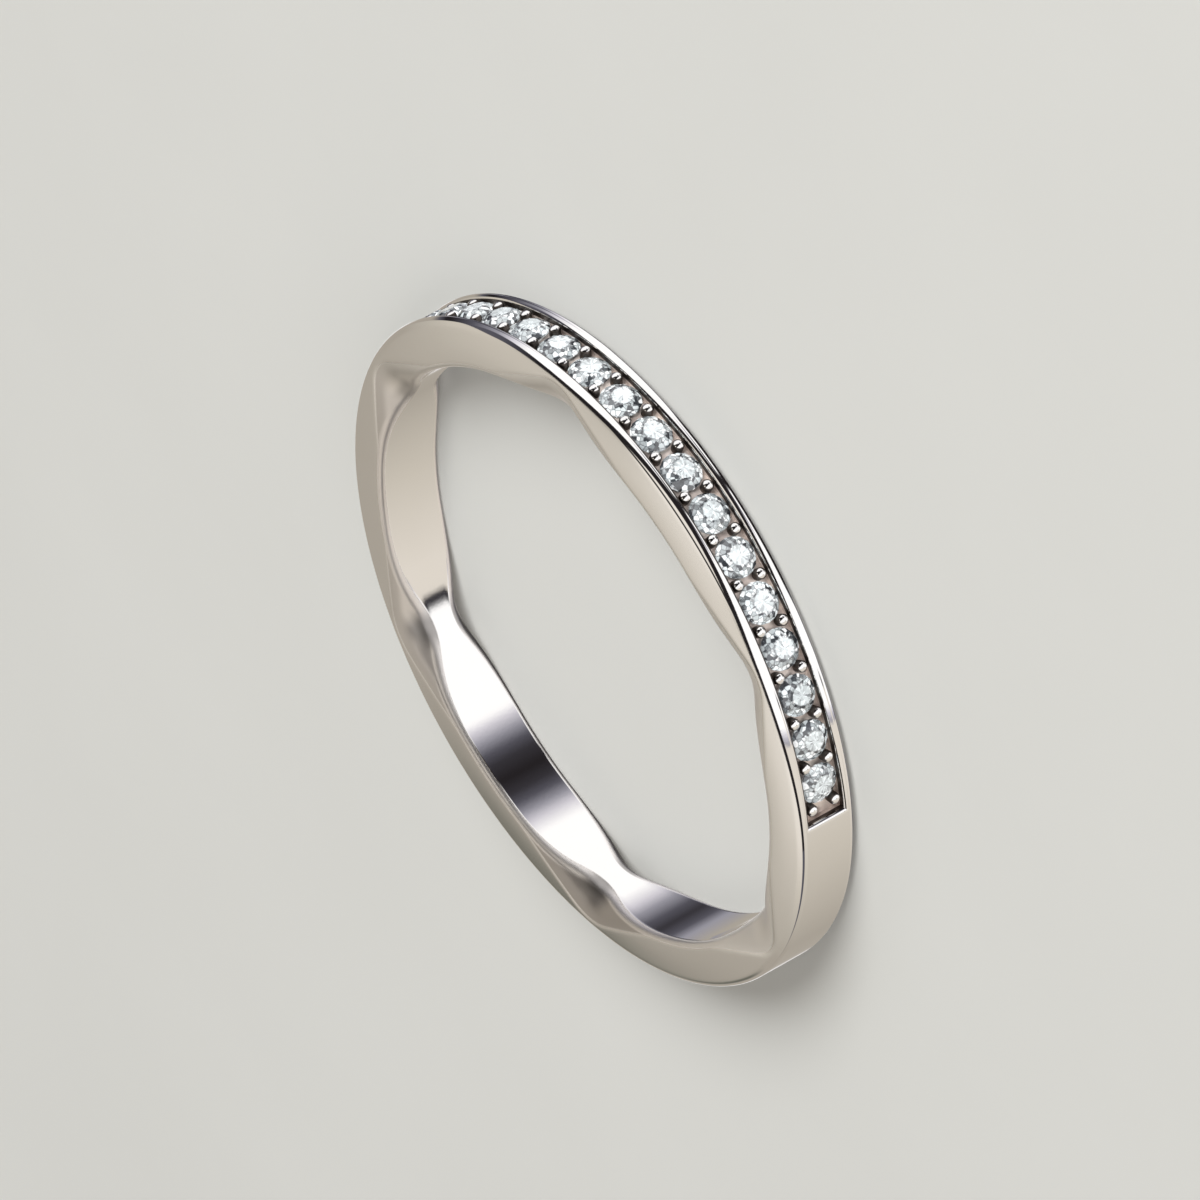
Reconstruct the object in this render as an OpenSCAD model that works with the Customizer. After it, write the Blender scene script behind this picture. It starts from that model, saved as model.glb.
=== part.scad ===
// Half eternity ring: a narrow band with a channel of round brilliants over half of its rim.
// The ring lies flat: its axis is +Z, the lower side face is on z = 0, the axis is at x = y = 0,
// and the middle of the stone row faces -Y.

/* [Band] */
// Inner diameter of the band, the finger size
inner_d = 16.5; // [15:0.1:20]
// Thickness of the band from its bore to its outer face
wall = 1.38; // [1.3:0.02:1.8]
// Width of the band along its axis, at the bore
band_w = 1.89; // [1.8:0.01:2.2]
// How much lower each side face is at the outer rim than at the bore
face_drop = 0.065; // [0:0.005:0.1]
// Radius of the rounded edges all round
edge_r = 0.18; // [0.1:0.01:0.24]

/* [Waists] */
// How many waists pinch the bore
waist_n = 6; // [4:1:8]
// How deep each side face is cut down at the bore
waist_depth = 0.6; // [0.2:0.01:0.65]
// How far a waist reaches from the bore into the side face
waist_reach = 1.1; // [0.6:0.05:1.2]
// Half the angle that a waist spans on the bore's rim, in degrees
waist_half = 15.5; // [12:0.5:20]
// Radius of the rounded valley in the middle of a waist
valley_r = 2.1; // [0.4:0.1:2.1]
// Turn of the waists from the middle of the stone row, in degrees
waist_turn = 1.8; // [-10:0.1:10]

/* [Stones] */
// How many stones sit in the row
stone_n = 21; // [9:2:25]
// Angle from one stone to the next, in degrees
stone_pitch = 7.9; // [7.8:0.1:8.4]
// Girdle diameter of a stone
stone_d = 1.12; // [1:0.01:1.14]
// Table across its corners, as a share of the girdle
table_ratio = 0.58; // [0.5:0.01:0.65]
// Crown height, as a share of the girdle
crown_ratio = 0.15; // [0.12:0.01:0.17]
// Girdle thickness, as a share of the girdle's diameter
girdle_ratio = 0.03; // [0.02:0.01:0.05]
// Pavilion depth, as a share of the girdle
pavilion_ratio = 0.43; // [0.41:0.01:0.44]
// Depth of the tables below the outer face
table_drop = 0.05; // [0.03:0.01:0.1]

/* [Channel] */
// Width of the channel that holds the stones
channel_w = 1.18; // [1.18:0.01:1.24]
// Depth of the channel's floor below the outer face
channel_depth = 0.34; // [0.32:0.01:0.5]
// Angle from the last pair of grains to the end wall, in degrees
end_angle = 2.3; // [2:0.1:5]
// Clearance between a stone and its seat
seat_gap = 0.035; // [0.02:0.005:0.05]

/* [Grains] */
// Diameter of a grain, the bead of metal that holds two stones
grain_d = 0.36; // [0.28:0.01:0.38]
// Distance between the two rows of grains
grain_rows = 0.72; // [0.7:0.01:0.78]
// Depth of the tops of the grains below the outer face
grain_drop = 0.03; // [0.01:0.01:0.06]

/* [Hidden] */
inner_r = inner_d / 2;
outer_r = inner_r + wall;
row_middle = -90;
stones = [1:stone_n];
metal_colour = [0.82, 0.8, 0.77];
stone_colour = [0.9, 0.93, 0.95];
round_fn = 96;
small_fn = 32;
over = 1;
seam = 0.001;
stem_ratio = 0.88;
culet_facet_ratio = 0.22;

// Angles round the axis: grains lie midway between stones and after the last ones
function stone_angle(i) = row_middle + (i - (stone_n + 1) / 2) * stone_pitch;
function stone_name(i) = str("stone_", i < 10 ? "0" : "", i);
grain_half = stone_n * stone_pitch / 2;
channel_half = grain_half + end_angle;

// Waist notch: a V whose two flat walls slope down to the bore and reach its rim at their far ends
notch_tilt = atan(waist_depth / waist_reach);
notch_half_w = inner_r * sin(waist_half);
rim_rise = waist_depth + inner_r * (1 - cos(waist_half)) * tan(notch_tilt);
notch_wall_angle = atan(rim_rise / notch_half_w * cos(notch_tilt));

// Stone heights, measured down from the table
crown_h = crown_ratio * stone_d;
girdle_h = girdle_ratio * stone_d;
pavilion_h = pavilion_ratio * stone_d;
girdle_r = stone_d / 2;
table_r = table_ratio * girdle_r;
girdle_depth = table_drop + crown_h + girdle_h;

// Section of the band, centred on its mid plane: circles for its rounded edges, and a polygon between them
// whose slanted sides cross the circles a hair below their tops
module band_section() {
    bore_x = inner_r + edge_r;
    bore_y = band_w / 2 - edge_r;
    rim_x = outer_r - edge_r;
    rim_y = bore_y - face_drop;
    lean = atan(face_drop / (rim_x - bore_x));
    face_x = (edge_r - seam) * sin(lean);
    face_y = (edge_r - seam) * cos(lean);
    polygon([
        [inner_r, -bore_y], [bore_x + face_x, -bore_y - face_y],
        [rim_x + face_x, -rim_y - face_y], [outer_r, -rim_y],
        [outer_r, rim_y], [rim_x + face_x, rim_y + face_y],
        [bore_x + face_x, bore_y + face_y], [inner_r, bore_y]
    ]);
    for (side = [-1, 1]) {
        translate([bore_x, side * bore_y])
            circle(r = edge_r, $fn = small_fn);
        translate([rim_x, side * rim_y])
            circle(r = edge_r, $fn = small_fn);
    }
}

module channel_cut() {
    rotate([0, 0, row_middle - channel_half])
        rotate_extrude(angle = 2 * channel_half, $fn = round_fn)
            translate([outer_r - channel_depth, -channel_w / 2])
                square([channel_depth + over, channel_w]);
}

// Open V with a rounded valley, whose walls rise to both sides of y = 0
module notch_section() {
    centre_y = valley_r / cos(notch_wall_angle);
    foot_x = valley_r * sin(notch_wall_angle);
    foot_y = centre_y - valley_r * cos(notch_wall_angle);
    rim_y = notch_half_w * tan(notch_wall_angle);
    top_y = rim_y + 2 * over;
    translate([0, centre_y])
        circle(r = valley_r, $fn = round_fn);
    polygon([
        [-foot_x, foot_y], [foot_x, foot_y], [notch_half_w, rim_y],
        [notch_half_w, top_y], [-notch_half_w, top_y], [-notch_half_w, rim_y]
    ]);
}

// One notch in the upper side face, pointing along +X
module waist_notch() {
    reach = (waist_reach + 2 * over) / cos(notch_tilt);
    translate([inner_r, 0, band_w / 2 - waist_depth])
        rotate([0, -notch_tilt, 0])
            translate([-over / cos(notch_tilt), 0, 0])
                rotate([90, 0, 90])
                    linear_extrude(height = reach)
                        notch_section();
}

module waist_cuts() {
    for (i = [0:waist_n - 1], side = [0, 1])
        rotate([0, 0, row_middle + waist_turn + i * 360 / waist_n])
            mirror([0, 0, side])
                waist_notch();
}

// Cone under one stone, as steep as its pavilion
module seat_cut() {
    steep = pavilion_h / girdle_r;
    seat_r = girdle_r + seat_gap * sqrt(1 + 1 / (steep * steep));
    mouth_depth = channel_depth - girdle_depth - seat_gap;
    mouth_r = seat_r - mouth_depth / steep;
    translate([outer_r - girdle_depth - mouth_depth, 0, 0])
        rotate([0, -90, 0])
            cylinder(h = mouth_r * steep, r1 = mouth_r, r2 = 0, $fn = round_fn);
}

// A bead on a short stem that stands on the channel's floor
module grain() {
    grain_r = grain_d / 2;
    stem_r = grain_r * stem_ratio;
    bead_x = outer_r - grain_drop - grain_r;
    stem_from = outer_r - channel_depth - seat_gap;
    translate([bead_x, 0, 0])
        sphere(r = grain_r, $fn = small_fn);
    translate([stem_from, 0, 0])
        rotate([0, 90, 0])
            cylinder(h = bead_x - stem_from, r = stem_r, $fn = small_fn);
}

module band() {
    color(metal_colour)
        translate([0, 0, band_w / 2]) {
            difference() {
                rotate_extrude($fn = round_fn)
                    band_section();
                channel_cut();
                waist_cuts();
                for (i = stones)
                    rotate([0, 0, stone_angle(i)])
                        seat_cut();
            }
            for (i = [0:stone_n], side = [-1, 1])
                rotate([0, 0, row_middle - grain_half + i * stone_pitch])
                    translate([0, 0, side * grain_rows / 2])
                        grain();
        }
}

// Round brilliant with its table on z = 0 and its culet below:
// rings of 8 corners at the table and star points, 16 at each girdle edge, 8 low on the pavilion
module brilliant() {
    step = 360 / 16;
    turn = 2 * step;
    crown_steep = crown_h / (girdle_r - table_r);
    pavilion_steep = pavilion_h / girdle_r;
    star_r = (table_r + girdle_r) / 2;
    star_z = -(star_r * cos(step) - table_r) * crown_steep;
    low_r = culet_facet_ratio * girdle_r;
    culet_z = -(crown_h + girdle_h + pavilion_h);
    low_z = culet_z + low_r * cos(step) * pavilion_steep;
    table = [for (k = [0:7]) [table_r * cos(turn * k), table_r * sin(turn * k), 0]];
    star = [for (k = [0:7])
        [star_r * cos(turn * k + step), star_r * sin(turn * k + step), star_z]];
    upper = [for (k = [0:15]) [girdle_r * cos(step * k), girdle_r * sin(step * k), -crown_h]];
    lower = [for (p = upper) [p.x, p.y, -crown_h - girdle_h]];
    low = [for (k = [0:7])
        [low_r * cos(turn * k + step), low_r * sin(turn * k + step), low_z]];
    first_star = 8;
    first_upper = 16;
    first_lower = 32;
    first_low = 48;
    culet = 56;
    polyhedron(
        points = concat(table, star, upper, lower, low, [[0, 0, culet_z]]),
        faces = concat(
            [[for (k = [0:7]) 7 - k]],
            [for (k = [0:7]) [k, (k + 1) % 8, first_star + k]],
            [for (k = [0:7]) [
                k, first_star + k, first_upper + 2 * k, first_star + (k + 7) % 8
            ]],
            [for (k = [0:7]) [
                first_star + k, first_upper + 2 * k + 1, first_upper + 2 * k
            ]],
            [for (k = [0:7]) [
                first_star + k, first_upper + (2 * k + 2) % 16, first_upper + 2 * k + 1
            ]],
            [for (k = [0:15]) [
                first_upper + k, first_upper + (k + 1) % 16,
                first_lower + (k + 1) % 16, first_lower + k
            ]],
            [for (k = [0:7]) [
                first_lower + 2 * k, first_lower + 2 * k + 1, first_low + k
            ]],
            [for (k = [0:7]) [
                first_lower + 2 * k + 1, first_lower + (2 * k + 2) % 16, first_low + k
            ]],
            [for (k = [0:7]) [
                culet, first_low + (k + 7) % 8, first_lower + 2 * k, first_low + k
            ]]
        )
    );
}

module stone(i) {
    color(stone_colour)
        rotate([0, 0, stone_angle(i)])
            translate([outer_r - table_drop, 0, band_w / 2])
                rotate([0, 90, 0])
                    brilliant();
}

band();
for (i = stones)
    stone(i);
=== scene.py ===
import math

import bmesh
import bpy
import numpy as np
from mathutils import Matrix, Vector


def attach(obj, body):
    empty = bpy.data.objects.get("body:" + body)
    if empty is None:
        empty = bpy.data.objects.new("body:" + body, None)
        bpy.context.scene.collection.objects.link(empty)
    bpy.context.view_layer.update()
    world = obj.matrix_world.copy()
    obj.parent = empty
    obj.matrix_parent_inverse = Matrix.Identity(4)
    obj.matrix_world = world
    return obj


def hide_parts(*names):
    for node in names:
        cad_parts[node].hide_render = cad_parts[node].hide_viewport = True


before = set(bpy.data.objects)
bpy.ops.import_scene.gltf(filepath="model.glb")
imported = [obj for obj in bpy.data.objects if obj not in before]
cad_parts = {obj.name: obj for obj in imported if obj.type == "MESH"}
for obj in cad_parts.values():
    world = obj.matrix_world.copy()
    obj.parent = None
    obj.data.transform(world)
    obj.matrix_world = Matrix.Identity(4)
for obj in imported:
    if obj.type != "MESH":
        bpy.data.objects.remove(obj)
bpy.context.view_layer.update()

# The ring lies on its side: its axis is +Z, the lower side face is on z = 0, and the middle of the
# row of stones faces -Y. Sizes are in millimetres and angles in degrees, as in the CAD source.
MM = 0.001
INNER_R = 8.25
OUTER_R = 9.63
HALF_W = 0.945
EDGE_R = 0.18
WAIST_N = 6
WAIST_PITCH = 360 / WAIST_N
WAIST_DEPTH = 0.6
WAIST_REACH = 1.1
WAIST_HALF = 15.5
WAIST_TURN = 1.8
STONE_N = 21
STONE_PITCH = 7.9
ROW_MIDDLE = -90.0
CHANNEL_DEPTH = 0.34
END_ANGLE = 2.3
SEAT_GAP = 0.035
GRAIN_R = 0.18
GRAIN_ROW = 0.36
GRAIN_DROP = 0.03
STEM_RATIO = 0.88
GRAIN_HALF = STONE_N * STONE_PITCH / 2
CHANNEL_HALF = GRAIN_HALF + END_ANGLE

# The cones of the seats: radius on the channel's floor, and depth against radius
SEAT_MOUTH = 0.51
SEAT_STEEP = 0.86

# Sizes that only the looks need: the side faces slope a little more towards the rim and round over
# wider, the waists' edges and valleys are soft, and the channel's rounded lips lean in over it
FACE_SLOPE_BORE = math.tan(math.radians(2.0))
FACE_SLOPE_RIM = math.tan(math.radians(5.3))
RIM_ROUND = 0.22
RIM_ROUND_Z = 0.18
NOTCH_SOFT = 0.23
VALLEY_HALF = 0.65
MOUTH_HALF_W = 0.565
LIP = 0.12

# How finely the band is cut: columns go round the ring, and rows go over its section
PITCH_COLUMNS = 16
END_COLUMNS = 7
PLAIN_COLUMNS = 380
BORE_ROWS = 5
BORE_EDGE_ROWS = 9
FACE_ROWS = 14
RIM_EDGE_ROWS = 11
RIM_ROWS = 3
ACROSS_COLUMNS = 11
LIP_ROWS = 10
WALL_ROWS = 5
FLOOR_ROWS = 23
GRAIN_ROWS = 9
GRAIN_COLUMNS = 21
SLOPE_STEP = 0.001
WELD = 0.0002
SHARP_ANGLE = 42

# Material slots of the band; the last holds painted shade
POLISHED, CHANNEL, SHADED = 0, 1, 2
# Down to which row the lip is polished, with painted shade below it: on the upper and on the lower
# side of the channel
UPPER_SHINE, LOWER_SHINE = 2, 7
# From which row the channel's wall is plain channel metal; the rows above it are painted shade
WALL_TURNS = 2

# The photo's camera, fitted to the rims and the rows of grains, in metres
CAMERA_AT = (-0.17689, -0.20401, 0.12904)
CAMERA_RIGHT = (-0.60712, 0.02777, -0.79413)
SIGHT = (0.59379, 0.67997, -0.43018)
LENS = 345.1
SENSOR = 36.0


# ---------------------------------------------------------------- camera

def add_camera():
    """The photo's camera. It is rolled, as the photo is."""
    right = Vector(CAMERA_RIGHT).normalized()
    forward = Vector(SIGHT).normalized()
    up = right.cross(forward)
    data = bpy.data.cameras.new("camera")
    data.lens = LENS
    data.sensor_width = SENSOR
    data.clip_start = 0.01
    data.clip_end = 10.0
    obj = bpy.data.objects.new("camera", data)
    turn = Matrix((right, up, -forward)).transposed().to_4x4()
    obj.matrix_world = Matrix.Translation(CAMERA_AT) @ turn
    bpy.context.scene.collection.objects.link(obj)
    bpy.context.scene.camera = obj


# ---------------------------------------------------------------- band mesh

def smooth_max(a, b, k):
    """The greater of a and b, blended where they differ by less than k."""
    h = np.clip(0.5 + 0.5 * (a - b) / k, 0, 1)
    return b + (a - b) * h + k * h * (1 - h)


def from_nearest(deg, first, pitch):
    """Angle from the nearest of a row of places, one of which is at first."""
    return (deg - first + pitch / 2) % pitch - pitch / 2


def notch_depth(r, deg):
    """Depth of the waists below the edge of the bore, at radius r and angle deg."""
    fall = WAIST_DEPTH / WAIST_REACH
    half = math.radians(WAIST_HALF)
    rise = (WAIST_DEPTH + INNER_R * (1 - math.cos(half)) * fall) / (INNER_R * math.sin(half))
    turn = np.radians(from_nearest(deg, ROW_MIDDLE + WAIST_TURN, WAIST_PITCH))
    along = r * np.cos(turn) - INNER_R
    across = np.abs(r * np.sin(turn))
    valley = across ** 2 / (2 * VALLEY_HALF) + VALLEY_HALF / 2
    return WAIST_DEPTH - fall * along - rise * np.where(across < VALLEY_HALF, valley, across)


def face_height(r, deg):
    """Height of the side face above the mid plane: it falls outwards and dips at the waists."""
    start, end = INNER_R + EDGE_R, OUTER_R - EDGE_R
    out = r - start
    bend = (FACE_SLOPE_RIM - FACE_SLOPE_BORE) / (2 * (end - start))
    fall = FACE_SLOPE_BORE * out + bend * out ** 2
    return HALF_W - smooth_max(notch_depth(r, deg), fall, NOTCH_SOFT)


def rounding(start, corner, end, n):
    """Inner points of an elliptic arc from start to end, along the lines to corner at both."""
    t = np.linspace(0, 1, n + 1)[1:-1, None]
    w = math.sqrt(0.5)
    p0, p1, p2 = (np.array(p)[None] for p in (start, corner, end))
    top = (1 - t) ** 2 * p0 + 2 * w * t * (1 - t) * p1 + t ** 2 * p2
    return top / ((1 - t) ** 2 + 2 * w * t * (1 - t) + t ** 2)


def section(deg):
    """Half section of the band: from the bore's middle over the side face to the channel's lip."""
    r = np.linspace(INNER_R + EDGE_R, OUTER_R - RIM_ROUND, FACE_ROWS)
    z = face_height(r, deg)
    slope_in = (face_height(r[0] + SLOPE_STEP, deg) - z[0]) / SLOPE_STEP
    slope_out = (z[-1] - face_height(r[-1] - SLOPE_STEP, deg)) / SLOPE_STEP
    bore_z = z[0] - slope_in * EDGE_R
    rim_z = z[-1] + slope_out * RIM_ROUND
    bore_end = (INNER_R, bore_z - EDGE_R)
    rim_end = (OUTER_R, max(rim_z - RIM_ROUND_Z, MOUTH_HALF_W + LIP))
    parts = [
        [(INNER_R, h) for h in np.linspace(0, bore_end[1], BORE_ROWS)],
        rounding(bore_end, (INNER_R, bore_z), (r[0], z[0]), BORE_EDGE_ROWS),
        np.stack([r, z], -1),
        rounding((r[-1], z[-1]), (OUTER_R, rim_z), rim_end, RIM_EDGE_ROWS),
        [(OUTER_R, h) for h in np.linspace(rim_end[1], MOUTH_HALF_W + LIP, RIM_ROWS)],
    ]
    return np.concatenate([np.asarray(p) for p in parts]).T


def round_axis(r, z, deg):
    """Points at radius r and height z from the mid plane, at angle deg, in the ring's frame."""
    a = np.radians(deg)
    r, z, a = np.broadcast_arrays(r, z, a)
    return np.stack([r * np.cos(a), r * np.sin(a), z + HALF_W], -1)


def channel_floor(z, deg):
    """Radius of the channel's floor: a cylinder with a conical seat under each stone."""
    base = OUTER_R - CHANNEL_DEPTH
    local = from_nearest(deg, ROW_MIDDLE, STONE_PITCH)
    inside = np.abs(deg - ROW_MIDDLE) < GRAIN_HALF
    away = np.hypot(base * np.sin(np.radians(local)), z)
    return base - np.where(inside, np.clip(SEAT_MOUTH - away, 0, None) * SEAT_STEEP, 0)


class Sheets:
    """Collects grids of points, in millimetres, as one mesh."""

    def __init__(self):
        self.points = []
        self.faces = []
        self.slots = []

    def add(self, grid, close=False, flip=False, slot=POLISHED):
        """A grid of points as quads. It joins its last row to its first if it closes."""
        grid = np.asarray(grid, float)
        n, m = grid.shape[:2]
        base = len(self.points)
        self.points.extend(map(tuple, grid.reshape(-1, 3)))
        for i in range(n if close else n - 1):
            here, there = base + i * m, base + (i + 1) % n * m
            for k in range(m - 1):
                quad = [here + k, there + k, there + k + 1, here + k + 1]
                self.faces.append(quad[::-1] if flip else quad)
                self.slots.append(slot)

    def add_face(self, corners, flip=False):
        base = len(self.points)
        self.points.extend(map(tuple, corners))
        face = list(range(base, base + len(corners)))
        self.faces.append(face[::-1] if flip else face)
        self.slots.append(POLISHED)

    def build(self, name):
        """One smooth object of all the sheets, welded where they meet."""
        mesh = bpy.data.meshes.new(name)
        mesh.from_pydata([tuple(p * MM) for p in np.array(self.points)], [], self.faces)
        mesh.polygons.foreach_set("material_index", self.slots)
        obj = bpy.data.objects.new(name, mesh)
        bpy.context.scene.collection.objects.link(obj)
        bm = bmesh.new()
        bm.from_mesh(mesh)
        bmesh.ops.remove_doubles(bm, verts=bm.verts, dist=WELD * MM)
        bmesh.ops.dissolve_degenerate(bm, edges=bm.edges, dist=WELD * MM)
        bm.to_mesh(mesh)
        bm.free()
        for p in mesh.polygons:
            p.use_smooth = True
        mesh.set_sharp_from_angle(angle=math.radians(SHARP_ANGLE))
        return obj


def add_lip_and_wall(sheets, lip, wall, flip, shine=None):
    """Sheets over a rounded lip and the wall under it, both given as functions of the rows to take.

    The lip is polished down to the row shine and painted shade below it, or polished all over.
    The wall is painted shade in its rows next to the lip, and channel metal below.
    """
    parts = [(lip, slice(None), POLISHED)]
    if shine is not None:
        parts = [(lip, slice(shine + 1), POLISHED), (lip, slice(shine, None), SHADED)]
    parts += [(wall, slice(WALL_TURNS + 1), SHADED), (wall, slice(WALL_TURNS, None), CHANNEL)]
    for points, rows, slot in parts:
        sheets.add(points(rows), flip=flip, slot=slot)


def add_channel(sheets, channel):
    """The channel from one end wall to the other, with its lips, walls, floor and end walls."""
    turn = np.linspace(0, math.pi / 2, LIP_ROWS)
    lip_r = OUTER_R - LIP + LIP * np.cos(turn)
    lip_z = MOUTH_HALF_W + LIP - LIP * np.sin(turn)
    wall_r = np.linspace(OUTER_R - LIP, OUTER_R - CHANNEL_DEPTH, WALL_ROWS)
    for side, shine in ((1, UPPER_SHINE), (-1, LOWER_SHINE)):
        add_lip_and_wall(
            sheets,
            lambda rows: [round_axis(lip_r[rows], side * lip_z[rows], a) for a in channel],
            lambda rows: [round_axis(wall_r[rows], side * MOUTH_HALF_W, a) for a in channel],
            flip=side < 0, shine=shine)
    floor_z = np.linspace(MOUTH_HALF_W, -MOUTH_HALF_W, FLOOR_ROWS)
    sheets.add([round_axis(channel_floor(floor_z, a), floor_z, a) for a in channel], slot=CHANNEL)

    across = np.linspace(1, -1, ACROSS_COLUMNS)
    for a, side in ((channel[-1], 1), (channel[0], -1)):
        lip_a = a + side * math.degrees(LIP / OUTER_R) * (1 - np.sin(turn))
        add_lip_and_wall(
            sheets,
            lambda rows: [round_axis(lip_r[rows], lip_z[rows] * t, lip_a[rows]) for t in across],
            lambda rows: [round_axis(wall_r[rows], MOUTH_HALF_W * t, a) for t in across],
            flip=side < 0)
        for s in (1, -1):
            fan = [(OUTER_R, s * (MOUTH_HALF_W + LIP), a)]
            fan += [(r, s * z, q) for r, z, q in zip(lip_r, lip_z, lip_a)]
            edge = [(r, s * z, a) for r, z in zip(lip_r, lip_z)]
            for k in range(len(edge) - 1):
                corners = (edge[k], fan[k + 1], fan[k + 2], edge[k + 1])
                sheets.add_face([round_axis(*c) for c in corners], flip=s * side < 0)


def add_grains(sheets):
    """The beads between the stones, each on a stem as wide as the bead where they meet."""
    bead_x = OUTER_R - GRAIN_DROP - GRAIN_R
    stem_r = STEM_RATIO * GRAIN_R
    stem_from = OUTER_R - CHANNEL_DEPTH - SEAT_GAP
    polar = np.linspace(math.asin(STEM_RATIO), 0, GRAIN_ROWS)
    profile_r = np.concatenate([[stem_r, stem_r], GRAIN_R * np.sin(polar[1:])])
    profile_x = np.concatenate([[stem_from], bead_x + GRAIN_R * np.cos(polar)])
    round_a = np.linspace(0, 2 * math.pi, GRAIN_COLUMNS)[:-1, None]
    t = profile_r * np.cos(round_a)
    x = np.broadcast_to(profile_x, t.shape)
    bead_from = 3
    for i in range(STONE_N + 1):
        a = math.radians(ROW_MIDDLE - GRAIN_HALF + i * STONE_PITCH)
        for s in (-1, 1):
            z = profile_r * np.sin(round_a) + s * GRAIN_ROW + HALF_W
            grid = np.stack([x * math.cos(a) - t * math.sin(a),
                             x * math.sin(a) + t * math.cos(a), z], -1)
            # Painted shade: the stem and the lower rings of each bead are near black
            sheets.add(grid[:, :bead_from + 1], close=True, slot=SHADED)
            sheets.add(grid[:, bead_from:], close=True)


def build_band():
    sheets = Sheets()
    inner = np.linspace(-GRAIN_HALF, GRAIN_HALF, STONE_N * PITCH_COLUMNS + 1)
    end = np.linspace(GRAIN_HALF, CHANNEL_HALF, END_COLUMNS)[1:]
    channel = ROW_MIDDLE + np.concatenate([-end[::-1], inner, end])
    lip_angle = math.degrees(LIP / OUTER_R)
    plain = np.linspace(channel[-1] + lip_angle, channel[0] - lip_angle + 360, PLAIN_COLUMNS)
    around = np.concatenate([channel, plain])

    halves = [section(float(a)) for a in around]
    for side in (1, -1):
        sheets.add([round_axis(r, side * z, a) for (r, z), a in zip(halves, around)],
                   close=True, flip=side < 0)
    lid_z = np.linspace(MOUTH_HALF_W + LIP, -MOUTH_HALF_W - LIP, ACROSS_COLUMNS)
    sheets.add([round_axis(OUTER_R, lid_z, a) for a in plain])
    add_channel(sheets, channel)
    add_grains(sheets)
    return sheets.build("band_polished")


# ---------------------------------------------------------------- node helpers

def srgb(r, g, b):
    """Linear colour from 8-bit values as seen on a screen."""
    def one(v):
        v /= 255.0
        return v / 12.92 if v <= 0.04045 else ((v + 0.055) / 1.055) ** 2.4
    return (one(r), one(g), one(b), 1)


class Tree:
    """Short ways to add and join shader nodes."""

    def __init__(self, owner):
        owner.use_nodes = True
        self.nodes = owner.node_tree.nodes
        self.links = owner.node_tree.links

    def set(self, socket, value):
        if isinstance(value, bpy.types.NodeSocket):
            self.links.new(value, socket)
        else:
            socket.default_value = value

    def math(self, operation, *values):
        node = self.nodes.new("ShaderNodeMath")
        node.operation = operation
        for socket, value in zip(node.inputs, values):
            self.set(socket, value)
        return node.outputs[0]

    def product(self, a, b):
        return self.math("MULTIPLY", a, b)

    def length(self, a, b):
        """Length of a vector with the parts a and b."""
        return self.math("SQRT", self.math("ADD", self.product(a, a), self.product(b, b)))

    def angle(self, y, x):
        return self.math("DEGREES", self.math("ARCTAN2", y, x))

    def fraction(self, value, shift, pitch):
        """How far a value is between the last and the next step of a row."""
        return self.math("FRACT", self.math("DIVIDE", self.math("ADD", value, shift), pitch))

    def remap(self, value, low, high, to_low=0.0, to_high=1.0, smooth=True):
        node = self.nodes.new("ShaderNodeMapRange")
        node.interpolation_type = "SMOOTHSTEP" if smooth else "LINEAR"
        for name, item in (("Value", value), ("From Min", low), ("From Max", high),
                           ("To Min", to_low), ("To Max", to_high)):
            self.set(node.inputs[name], item)
        return node.outputs["Result"]

    def fade(self, value, low, high, most=1.0):
        """From most, up to low, down to nothing, from high on."""
        return self.remap(value, low, high, most, 0.0)

    def mix(self, factor, a, b):
        node = self.nodes.new("ShaderNodeMix")
        node.data_type = "RGBA"
        for name, item in (("Factor", factor), ("A", a), ("B", b)):
            self.set(next(i for i in node.inputs if i.name == name and i.enabled), item)
        return next(o for o in node.outputs if o.enabled)

    def ramp(self, factor, stops, way="LINEAR"):
        """Colour ramp from stops of (position, linear colour)."""
        node = self.nodes.new("ShaderNodeValToRGB")
        node.color_ramp.interpolation = way
        elements = node.color_ramp.elements
        elements.remove(elements[-1])
        for k, (position, colour) in enumerate(stops):
            element = elements[0] if k == 0 else elements.new(position)
            element.position = position
            element.color = colour
        self.links.new(factor, node.inputs["Fac"])
        return node.outputs["Color"]

    def cards(self, factor, bands, start, span):
        """Colour ramp over a span of degrees, from bands of (angle, tone as seen on a screen)."""
        return self.ramp(factor, [((at - start) / span, srgb(*tone)) for at, tone in bands])

    def split(self, vector):
        """X, Y and Z of a vector."""
        node = self.nodes.new("ShaderNodeSeparateXYZ")
        self.links.new(vector, node.inputs["Vector"])
        return [node.outputs[k] for k in "XYZ"]

    def place(self, kind="Object"):
        return self.nodes.new("ShaderNodeTexCoord").outputs[kind]

    def noise(self, scale, detail=3.0):
        node = self.nodes.new("ShaderNodeTexNoise")
        node.inputs["Scale"].default_value = scale
        node.inputs["Detail"].default_value = detail
        self.links.new(self.place(), node.inputs["Vector"])
        return node.outputs["Fac"]

    def bump(self, height, strength, distance):
        node = self.nodes.new("ShaderNodeBump")
        node.inputs["Strength"].default_value = strength
        node.inputs["Distance"].default_value = distance
        self.links.new(height, node.inputs["Height"])
        return node.outputs["Normal"]


def new_material(name, base, metallic=0.0, roughness=0.5):
    """A material with its constants set on the shader, and its node tree."""
    material = bpy.data.materials.new(name)
    tree = Tree(material)
    shader = tree.nodes["Principled BSDF"]
    shader.inputs["Base Color"].default_value = base
    shader.inputs["Metallic"].default_value = metallic
    shader.inputs["Roughness"].default_value = roughness
    return material, tree, shader.inputs
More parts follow.
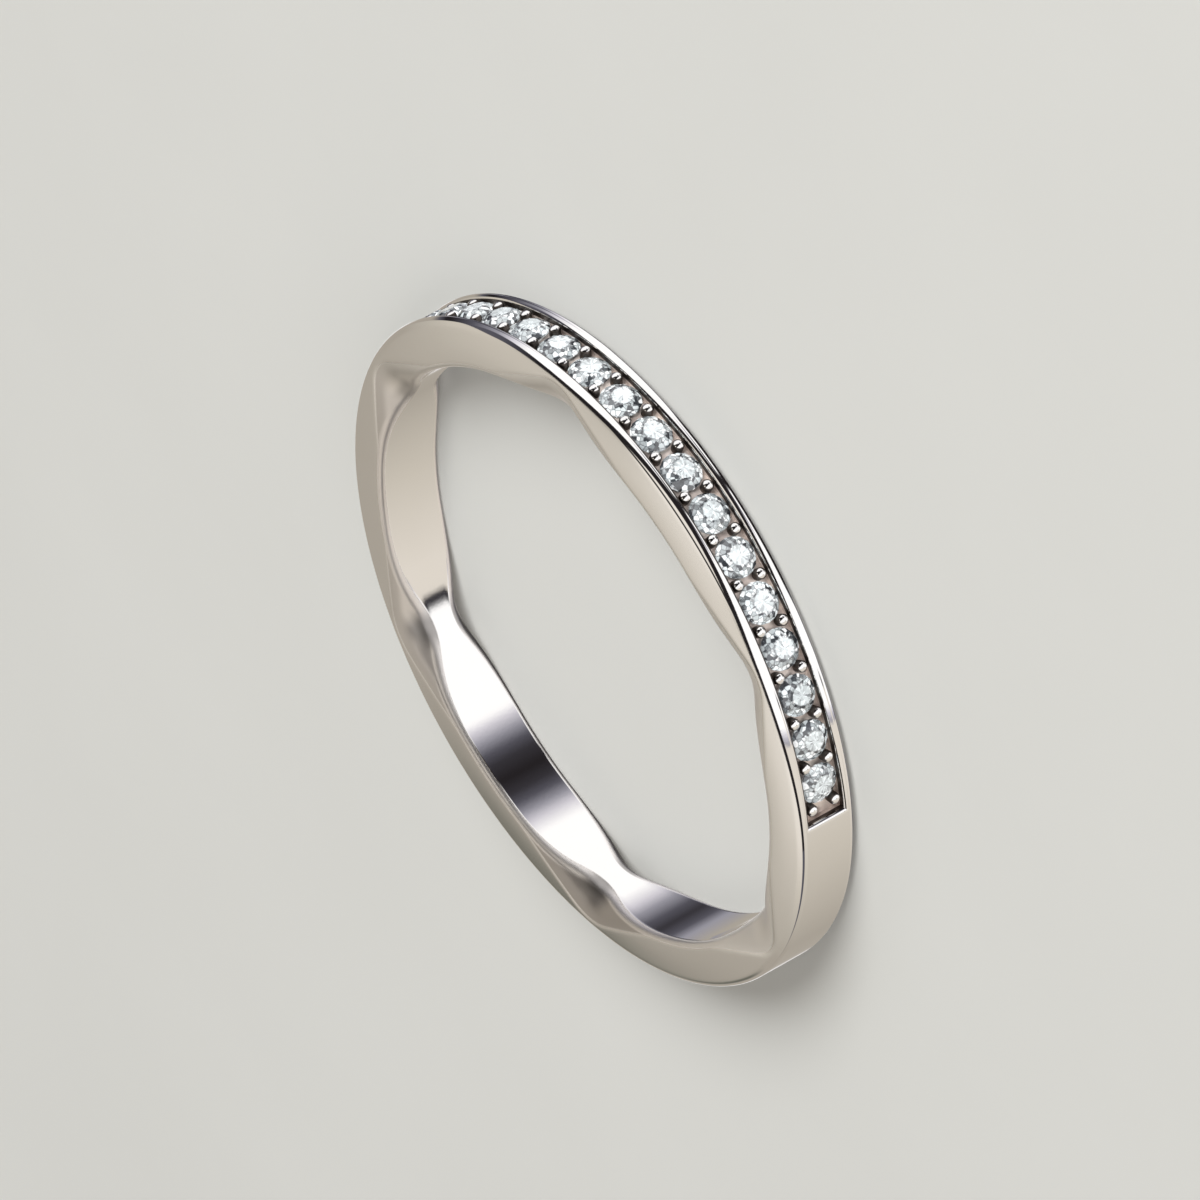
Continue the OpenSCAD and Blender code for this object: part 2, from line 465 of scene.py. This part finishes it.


# ---------------------------------------------------------------- materials

# Tints of the polished metal: on the rim and in the bore in two shades, and on the walls of the
# waists painted shade: darker on the farther half of the ring, lighter at the bore's edge, and
# near black in a nook at each waist's middle
RIM_TINTS = ((0.3, (0.85, 0.838, 0.815, 1)), (0.7, (0.875, 0.865, 0.848, 1)))
# Painted shade on the waists' walls: the lighter tint on the nearer half; on the farther half a
# dark tint, lighter at the edges and darkest farthest out; near black in the nooks
NEAR_WALL_TINT = (0.88, 0.86, 0.83, 1)
WALL_SHADE_TINT = (0.65, 0.62, 0.585, 1)
WALL_EDGE_SHADE_TINT = (0.82, 0.785, 0.75, 1)
FAR_WALL_SHADE_TINT = (0.50, 0.47, 0.44, 1)
NOOK_SHADE_TINT = (0.05, 0.045, 0.045, 1)
# Where the bore's edge and the nooks' painted shade end and the rim starts, by radius, and how far
# a nook's painted shade reaches from the middle of its waist, in degrees
BORE_EDGE_ENDS = (8.42 * MM, 8.5 * MM)
NOOK_ENDS = (8.45 * MM, 8.7 * MM)
RIM_STARTS = (9.3 * MM, 9.42 * MM)
NOOK_HALF = (1.0, 5.0)
# How strong the painted shade in a nook is
NOOK_SHARE = 0.55
# How rough the metal is where it stands, where it lies flat, and how much more in the waists
WALL_ROUGH, FLAT_ROUGH, WAIST_ROUGH = 0.06, 0.16, 0.3


def polished_metal():
    """White precious metal: mirror bright, and a little softer on the side faces and the waists."""
    material, tree, inputs = new_material("polished_metal", (0.86, 0.85, 0.83, 1), 1.0, 0.07)
    rim = tree.ramp(tree.noise(260.0), RIM_TINTS)
    normal_x, normal_y, normal_z = tree.split(
        tree.nodes.new("ShaderNodeNewGeometry").outputs["Normal"])
    x, y, _ = tree.split(tree.place())
    upright = tree.math("ABSOLUTE", normal_z)
    reach = tree.length(x, y)
    outward = tree.math("DIVIDE", tree.math(
        "ADD", tree.product(normal_x, x), tree.product(normal_y, y)), reach)

    # The walls of the waists lean inwards, and lie inside the rim
    leaning = tree.product(tree.remap(upright, 0.1, 0.3), tree.fade(outward, -0.10, -0.02))
    waist = tree.product(tree.fade(reach, *RIM_STARTS), leaning)

    # Painted shade on the waists' walls: lighter at the bore's edge and where a wall lies nearly
    # flat
    bore_edge = tree.fade(reach, *BORE_EDGE_ENDS)
    steep = tree.math("MAXIMUM", bore_edge, tree.fade(upright, 0.88, 0.96))
    wall_shade = tree.mix(steep, WALL_SHADE_TINT, WALL_EDGE_SHADE_TINT)
    # Painted shade: darkest where the ring reaches farthest towards +Y, away from the bore's edge
    beyond = tree.math("DIVIDE", y, reach)
    far_shade = tree.product(tree.remap(beyond, 0.6, 0.95), tree.math("SUBTRACT", 1.0, bore_edge))
    wall_shade = tree.mix(far_shade, wall_shade, FAR_WALL_SHADE_TINT)
    # Painted shade: near black in the nook at each waist's middle
    part = tree.fraction(tree.angle(y, x), WAIST_PITCH / 2 - ROW_MIDDLE - WAIST_TURN, WAIST_PITCH)
    from_middle = tree.product(
        tree.math("ABSOLUTE", tree.math("SUBTRACT", part, 0.5)), WAIST_PITCH)
    nook = tree.product(tree.fade(from_middle, *NOOK_HALF, NOOK_SHARE),
                        tree.fade(reach, *NOOK_ENDS))
    wall_shade = tree.mix(nook, wall_shade, NOOK_SHADE_TINT)
    # Painted shade: from the lighter tint on the side towards -X -Y to the dark on the side towards
    # +X +Y
    aside = tree.math("DIVIDE", tree.math("ADD", x, y), reach)
    wall_shade = tree.mix(tree.remap(aside, -0.1, 0.7), NEAR_WALL_TINT, wall_shade)

    rough = tree.remap(upright, 0.9, 0.995, WALL_ROUGH, FLAT_ROUGH)
    tree.set(inputs["Base Color"], tree.mix(waist, rim, wall_shade))
    tree.set(inputs["Roughness"], tree.math("ADD", rough, tree.product(waist, WAIST_ROUGH)))
    tree.set(inputs["Normal"], tree.bump(tree.noise(9000.0, 2.0), 0.015, 0.00002))
    return material


def painted_shade_metal():
    """Painted shade in the narrow gaps along the walls and round the grains, where light is scarce.
    """
    material, tree, inputs = new_material("painted_shade_metal", (0.11, 0.095, 0.085, 1), 1.0, 0.45)
    tree.set(inputs["Base Color"], tree.ramp(tree.noise(2500.0), (
        (0.35, (0.07, 0.06, 0.055, 1)), (0.65, (0.17, 0.145, 0.13, 1)))))
    return material


def channel_metal():
    """The metal under the stones in painted shade: darker and browner at random, and duller."""
    material, tree, inputs = new_material("channel_metal", (0.55, 0.46, 0.41, 1), 0.6, 0.4)
    tree.set(inputs["Base Color"], tree.ramp(tree.noise(2500.0), (
        (0.35, (0.44, 0.365, 0.33, 1)), (0.65, (0.92, 0.81, 0.74, 1)))))
    tree.set(inputs["Normal"], tree.bump(tree.noise(7000.0, 2.0), 0.2, 0.00003))
    return material


# Painted reflections of a stone's facets, in polar places round a point a little below its middle
PATTERN_DROP = 0.05
SPOKES = 24
RING_STEP = 0.1
STONE_STEP = 7.3
TABLE_EDGE = (0.24, 0.29)
STAR_RING = (0.26, 0.30, 0.32, 0.38)
# Tones of painted reflections: in the table, and in the crown's facets
TABLE_SHADES = (
    (0.0, (0.20, 0.21, 0.22, 1)), (0.1, (0.36, 0.38, 0.39, 1)), (0.28, (0.49, 0.52, 0.53, 1)),
    (0.5, (0.56, 0.595, 0.605, 1)), (0.75, (0.64, 0.68, 0.69, 1)), (1.0, (0.84, 0.88, 0.90, 1)),
)
CROWN_SHADES = (
    (0.0, (0.01, 0.011, 0.013, 1)), (0.2, (0.04, 0.045, 0.05, 1)), (0.3, (0.25, 0.27, 0.28, 1)),
    (0.6, (0.50, 0.54, 0.55, 1)), (0.72, (0.88, 0.94, 0.96, 1)), (1.0, (1.0, 1.0, 1.0, 1)),
)
# Painted dark reflections between the facets and in the star ring
GLASS_DARK = (0.02, 0.02, 0.025, 1)
STAR_DARK = (0.03, 0.03, 0.035, 1)
# Painted light: the stone glows with its painted tones, though it is no lamp
GLOW = 0.42


def clear_stone():
    """A clear brilliant with painted, glowing facets of light and shade in rings round its own
    axis.
    """
    material, tree, inputs = new_material("clear_stone", (0.9, 0.95, 1.0, 1), 0.0, 0.02)
    inputs["IOR"].default_value = 2.42
    inputs["Transmission Weight"].default_value = 0.4
    inputs["Specular IOR Level"].default_value = 0.2
    x, y, z = tree.split(tree.place())
    steps = tree.math("DIVIDE", tree.math(
        "ADD", tree.angle(y, x), STONE_PITCH / 2 - ROW_MIDDLE), STONE_PITCH)
    local = tree.product(
        tree.math("SUBTRACT", tree.math("FRACT", steps), 0.5), STONE_PITCH)
    along = tree.product(tree.math("RADIANS", local), OUTER_R)
    across = tree.math("SUBTRACT", tree.math("DIVIDE", z, MM), HALF_W - PATTERN_DROP)
    away = tree.length(along, across)

    join = tree.nodes.new("ShaderNodeCombineXYZ")
    tree.set(join.inputs["X"], tree.product(
        tree.math("ARCTAN2", across, along), SPOKES / (2 * math.pi)))
    tree.set(join.inputs["Y"], tree.math("DIVIDE", away, RING_STEP))
    tree.set(join.inputs["Z"], tree.product(tree.math("FLOOR", steps), STONE_STEP))
    cells, lines = (tree.nodes.new("ShaderNodeTexVoronoi") for _ in range(2))
    lines.feature = "DISTANCE_TO_EDGE"
    for node in (cells, lines):
        node.inputs["Scale"].default_value = 1.0
        tree.links.new(join.outputs["Vector"], node.inputs["Vector"])
    value = tree.nodes.new("ShaderNodeSeparateColor")
    tree.links.new(cells.outputs["Color"], value.inputs["Color"])

    crown = tree.ramp(value.outputs["Red"], CROWN_SHADES)
    crown = tree.mix(tree.fade(lines.outputs["Distance"], 0.02, 0.16, 0.6), crown, GLASS_DARK)
    star = tree.product(tree.remap(away, *STAR_RING[:2]), tree.fade(away, *STAR_RING[2:], 0.4))
    crown = tree.mix(star, crown, STAR_DARK)
    # Painted shade: the crown darker towards its upper side, +Z
    above = tree.math("ADD", tree.product(along, 0.5), tree.product(across, 0.85))
    crown = tree.mix(tree.remap(above, 0.05, 0.4, 0.0, 0.2), crown, GLASS_DARK)
    table = tree.ramp(value.outputs["Green"], TABLE_SHADES)
    tone = tree.mix(tree.remap(away, *TABLE_EDGE), table, crown)
    # Painted light and shade: the tones colour the stone and make it glow, though it is no lamp
    tree.set(inputs["Base Color"], tone)
    tree.set(inputs["Emission Color"], tone)
    inputs["Emission Strength"].default_value = GLOW
    return material


# ---------------------------------------------------------------- studio

# Tones of the studio's cards
WHITE = (255, 254, 255)
PALE = (229, 223, 215)
CREAM = (219, 212, 203)
MIST = (206, 203, 212)
SAND = (196, 189, 178)
UNDER = (186, 182, 176)
FAWN = (176, 170, 160)
STONE = (162, 155, 145)
SLATE = (147, 146, 156)
MOSS = (98, 98, 90)
DUSK = (82, 81, 90)
COAL = (52, 50, 55)
BLACK = (34, 31, 33)

# The sky is laid out by what mirrors it: for the photo's line of sight, every direction is seen by
# one direction of the polished surface, with a tilt from upright and a heading round the ring.
# Cards by the heading of an upright wall, kept as twice the heading plus WALL_TURN
WALL_TURN = 131.0
WALL_BANDS = (
    (-180, CREAM), (-178, CREAM), (-175.8, COAL), (-173.4, COAL), (-170.8, WHITE), (-127, WHITE),
    (-123.5, MIST), (-119, SLATE), (-114.5, DUSK), (-110, COAL), (-103, BLACK), (-97, COAL),
    (-92.5, DUSK), (-88, SLATE), (-84, MIST), (-78, WHITE), (-35, WHITE), (-27, MIST),
    (-21, SLATE), (-13, DUSK), (-5, COAL), (4, DUSK), (12, SLATE), (30, STONE), (80, STONE),
    (131, SAND), (171, CREAM), (180, CREAM),
)
# The same for the rounded rails beside the stones and for the edges of the bore
RAIL_BANDS = (
    (-180, WHITE), (-109.5, WHITE), (-108, BLACK), (-103.5, BLACK), (-102, WHITE), (-30, WHITE),
    (-20, MIST), (-13, SLATE), (1, DUSK), (14, BLACK), (17, BLACK), (21, DUSK), (26, STONE),
    (80, STONE), (122, SAND), (150, CREAM), (170.5, CREAM), (171.5, SLATE), (174.5, MIST),
    (177, WHITE), (180, WHITE),
)
# The dark line along the outer rim: heading, tilt where the line starts and tilt where it ends
RIM_LINE = (
    (-180, 43, 58), (-149, 11, 32), (-121, 54, 86), (-88, 13, 36), (-71, 27, 56), (-61, 44, 44),
    (-40, 50, 50), (150, 50, 50), (180, 43, 58),
)
# What the outer part of the side faces mirrors by heading, above that line
RIM_SKY = (
    (-180, CREAM), (-168, PALE), (-158, PALE), (-151, SAND), (-143, SAND), (-128, PALE),
    (-109, PALE), (-103, FAWN), (-90, FAWN), (-76, SAND), (-60, SAND), (-50, FAWN), (-40, STONE),
    (150, STONE), (160, FAWN), (170, SAND), (180, CREAM),
)
# What the side faces mirror: cards by height, to the left and to the right of an azimuth
FACE_LEFT = ((-22, WHITE), (-12, STONE), (25.5, STONE), (28.3, FAWN), (30.2, SAND), (37, PALE))
FACE_RIGHT = ((-22, WHITE), (-12, STONE), (5, STONE), (12, MOSS), (17, MOSS), (23, STONE),
              (28.8, FAWN), (30.8, SAND), (37, PALE))

# Where one kind of card gives way to the next, in degrees of azimuth, tilt or heading
FACE_TURN = (48.6, 50.6)
RAILS_FROM = (3, 9)
LOW_LINE_START = (119, 124)
LOW_LINE_END = (134, 140)
LOW_LINE_EXTRA = 11.0
LINE_SOFT = (-1.5, 1.5)
THIN_LINE = (24, 29, 34, 39)
DUSK_FROM = (-84, -70)
NEAR_TILTS = (4, 4.9)
# Heading of the surface that faces the photo's camera, and how far its half of the ring reaches, as
# a cosine; then the middle of the dark lines, and how far from it they change
FACING = -131.0
NEAR_HALF = (0.0, 0.12)
LINE_MIDDLE = -122
LOW_LINE_NARROWS = (14, 20)
THIN_LINE_FADES = (18, 24)

# What is seen through the stones, how much of it, and how bright the studio is
GLASS_SKY = (0.80, 0.86, 0.92, 1)
GLASS_SHARE = 0.55
STUDIO_STRENGTH = 1.2


def add_world():
    """A studio seen only in the metal and the stones: bands of light and dark round the ring."""
    world = bpy.data.worlds.new("studio")
    bpy.context.scene.world = world
    tree = Tree(world)
    toward = tree.split(tree.place("Generated"))
    azimuth = tree.angle(toward[1], toward[0])
    height = tree.math("DEGREES", tree.math("ARCSINE", toward[2]))
    level = tree.remap(height, -90, 90, smooth=False)

    # Direction of the surface that shows this part of the sky to the photo's camera
    mx, my, mz = (tree.math("SUBTRACT", a, b) for a, b in zip(toward, SIGHT))
    heading = tree.angle(my, mx)
    tilt = tree.angle(tree.length(mx, my), mz)
    compass = tree.remap(heading, -180, 180, smooth=False)
    doubled = tree.fraction(tree.product(heading, 2), WALL_TURN + 900, 360)
    off_middle = tree.math("ABSOLUTE", tree.math("SUBTRACT", heading, LINE_MIDDLE))

    # Upright walls, the rails beside the stones, and the dark line and the pale ground below them
    walls, rails = (tree.cards(doubled, bands, -180, 360) for bands in (WALL_BANDS, RAIL_BANDS))
    from_wall = tree.math("ABSOLUTE", tree.math("SUBTRACT", tilt, 90))
    low = tree.mix(tree.remap(from_wall, *RAILS_FROM), walls, rails)
    line = tree.mix(tree.remap(off_middle, *LOW_LINE_NARROWS), srgb(*BLACK), srgb(*DUSK))
    extra = tree.fade(off_middle, *LOW_LINE_NARROWS, LOW_LINE_EXTRA)
    low = tree.mix(tree.remap(tree.math("ADD", tilt, extra), *LOW_LINE_START), low, line)
    low = tree.mix(tree.remap(tree.math("SUBTRACT", tilt, extra), *LOW_LINE_END), low, srgb(*UNDER))

    # Side faces
    left, right = (tree.cards(level, bands, -90, 180) for bands in (FACE_LEFT, FACE_RIGHT))
    faces = tree.mix(tree.remap(azimuth, *FACE_TURN), left, right)

    # Outer part of the near side face, with the thin line on it, down to the dark line on the rim
    start, end = (tree.product(tree.ramp(compass, [
        ((row[0] + 180) / 360, (row[k] / 90,) * 3 + (1,)) for row in RIM_LINE], "EASE"), 90)
        for k in (1, 2))
    rim = tree.cards(compass, RIM_SKY, -180, 360)
    thin = tree.product(tree.remap(tilt, *THIN_LINE[:2]), tree.fade(tilt, *THIN_LINE[2:]))
    thin = tree.product(thin, tree.fade(off_middle, *THIN_LINE_FADES))
    rim = tree.mix(thin, rim, srgb(*BLACK))
    dark = tree.mix(tree.remap(heading, *DUSK_FROM), srgb(*BLACK), srgb(*DUSK))
    near = tree.mix(tree.remap(tree.math("SUBTRACT", tilt, start), *LINE_SOFT), rim, dark)
    near = tree.mix(tree.remap(tree.math("SUBTRACT", tilt, end), *LINE_SOFT), near, low)
    facing = tree.math("COSINE", tree.math("RADIANS", tree.math("SUBTRACT", heading, FACING)))
    is_near = tree.product(tree.remap(facing, *NEAR_HALF), tree.remap(tilt, *NEAR_TILTS))
    sky = tree.mix(is_near, faces, near)

    path = tree.nodes.new("ShaderNodeLightPath")
    through = tree.product(path.outputs["Is Transmission Ray"], GLASS_SHARE)
    background = tree.nodes["Background"].inputs
    tree.set(background["Color"], tree.mix(through, sky, GLASS_SKY))
    background["Strength"].default_value = STUDIO_STRENGTH


FLOOR_HALF = 1.5
FLOOR_DROP = 0.00001
FLOOR_SHADES = ((0.0, (0.577, 0.582, 0.557, 1)), (1.0, (0.607, 0.612, 0.587, 1)))


def add_floor():
    """A plain pale floor, a hair below the ring, which the metal and the stones don't mirror."""
    mesh = bpy.data.meshes.new("studio_floor")
    h = FLOOR_HALF
    mesh.from_pydata([(-h, -h, 0), (h, -h, 0), (h, h, 0), (-h, h, 0)], [], [(0, 1, 2, 3)])
    floor = bpy.data.objects.new("studio_floor", mesh)
    floor.location.z = -FLOOR_DROP
    bpy.context.scene.collection.objects.link(floor)
    material, tree, inputs = new_material("studio_floor", (0.592, 0.597, 0.572, 1), 0.0, 0.9)
    tree.set(inputs["Base Color"], tree.ramp(tree.noise(90.0, 4.0), FLOOR_SHADES))
    inputs["Specular IOR Level"].default_value = 0.1
    mesh.materials.append(material)
    floor.visible_glossy = False
    floor.visible_transmission = False


def add_key_light(azimuth, elevation, distance, size, power):
    """A soft round light that shines on the ring, and isn't mirrored by it."""
    a, e = math.radians(azimuth), math.radians(elevation)
    data = bpy.data.lights.new("key_light", "AREA")
    data.shape = "DISK"
    data.size = size
    data.energy = power
    obj = bpy.data.objects.new("key_light", data)
    toward = Vector((math.cos(e) * math.cos(a), math.cos(e) * math.sin(a), math.sin(e)))
    obj.location = toward * distance
    obj.rotation_euler = toward.to_track_quat("Z", "Y").to_euler()
    obj.visible_glossy = False
    bpy.context.scene.collection.objects.link(obj)


def main():
    bpy.context.scene.view_settings.view_transform = "Standard"
    add_camera()
    add_world()
    add_floor()
    add_key_light(azimuth=-96, elevation=32, distance=1.0, size=0.6, power=12.4)
    band = build_band()
    for material in (polished_metal(), channel_metal(), painted_shade_metal()):
        band.data.materials.append(material)
    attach(band, "root")
    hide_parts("band")
    stone = clear_stone()
    for name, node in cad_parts.items():
        if name.startswith("stone"):
            for s in node.material_slots:
                s.material = stone


main()
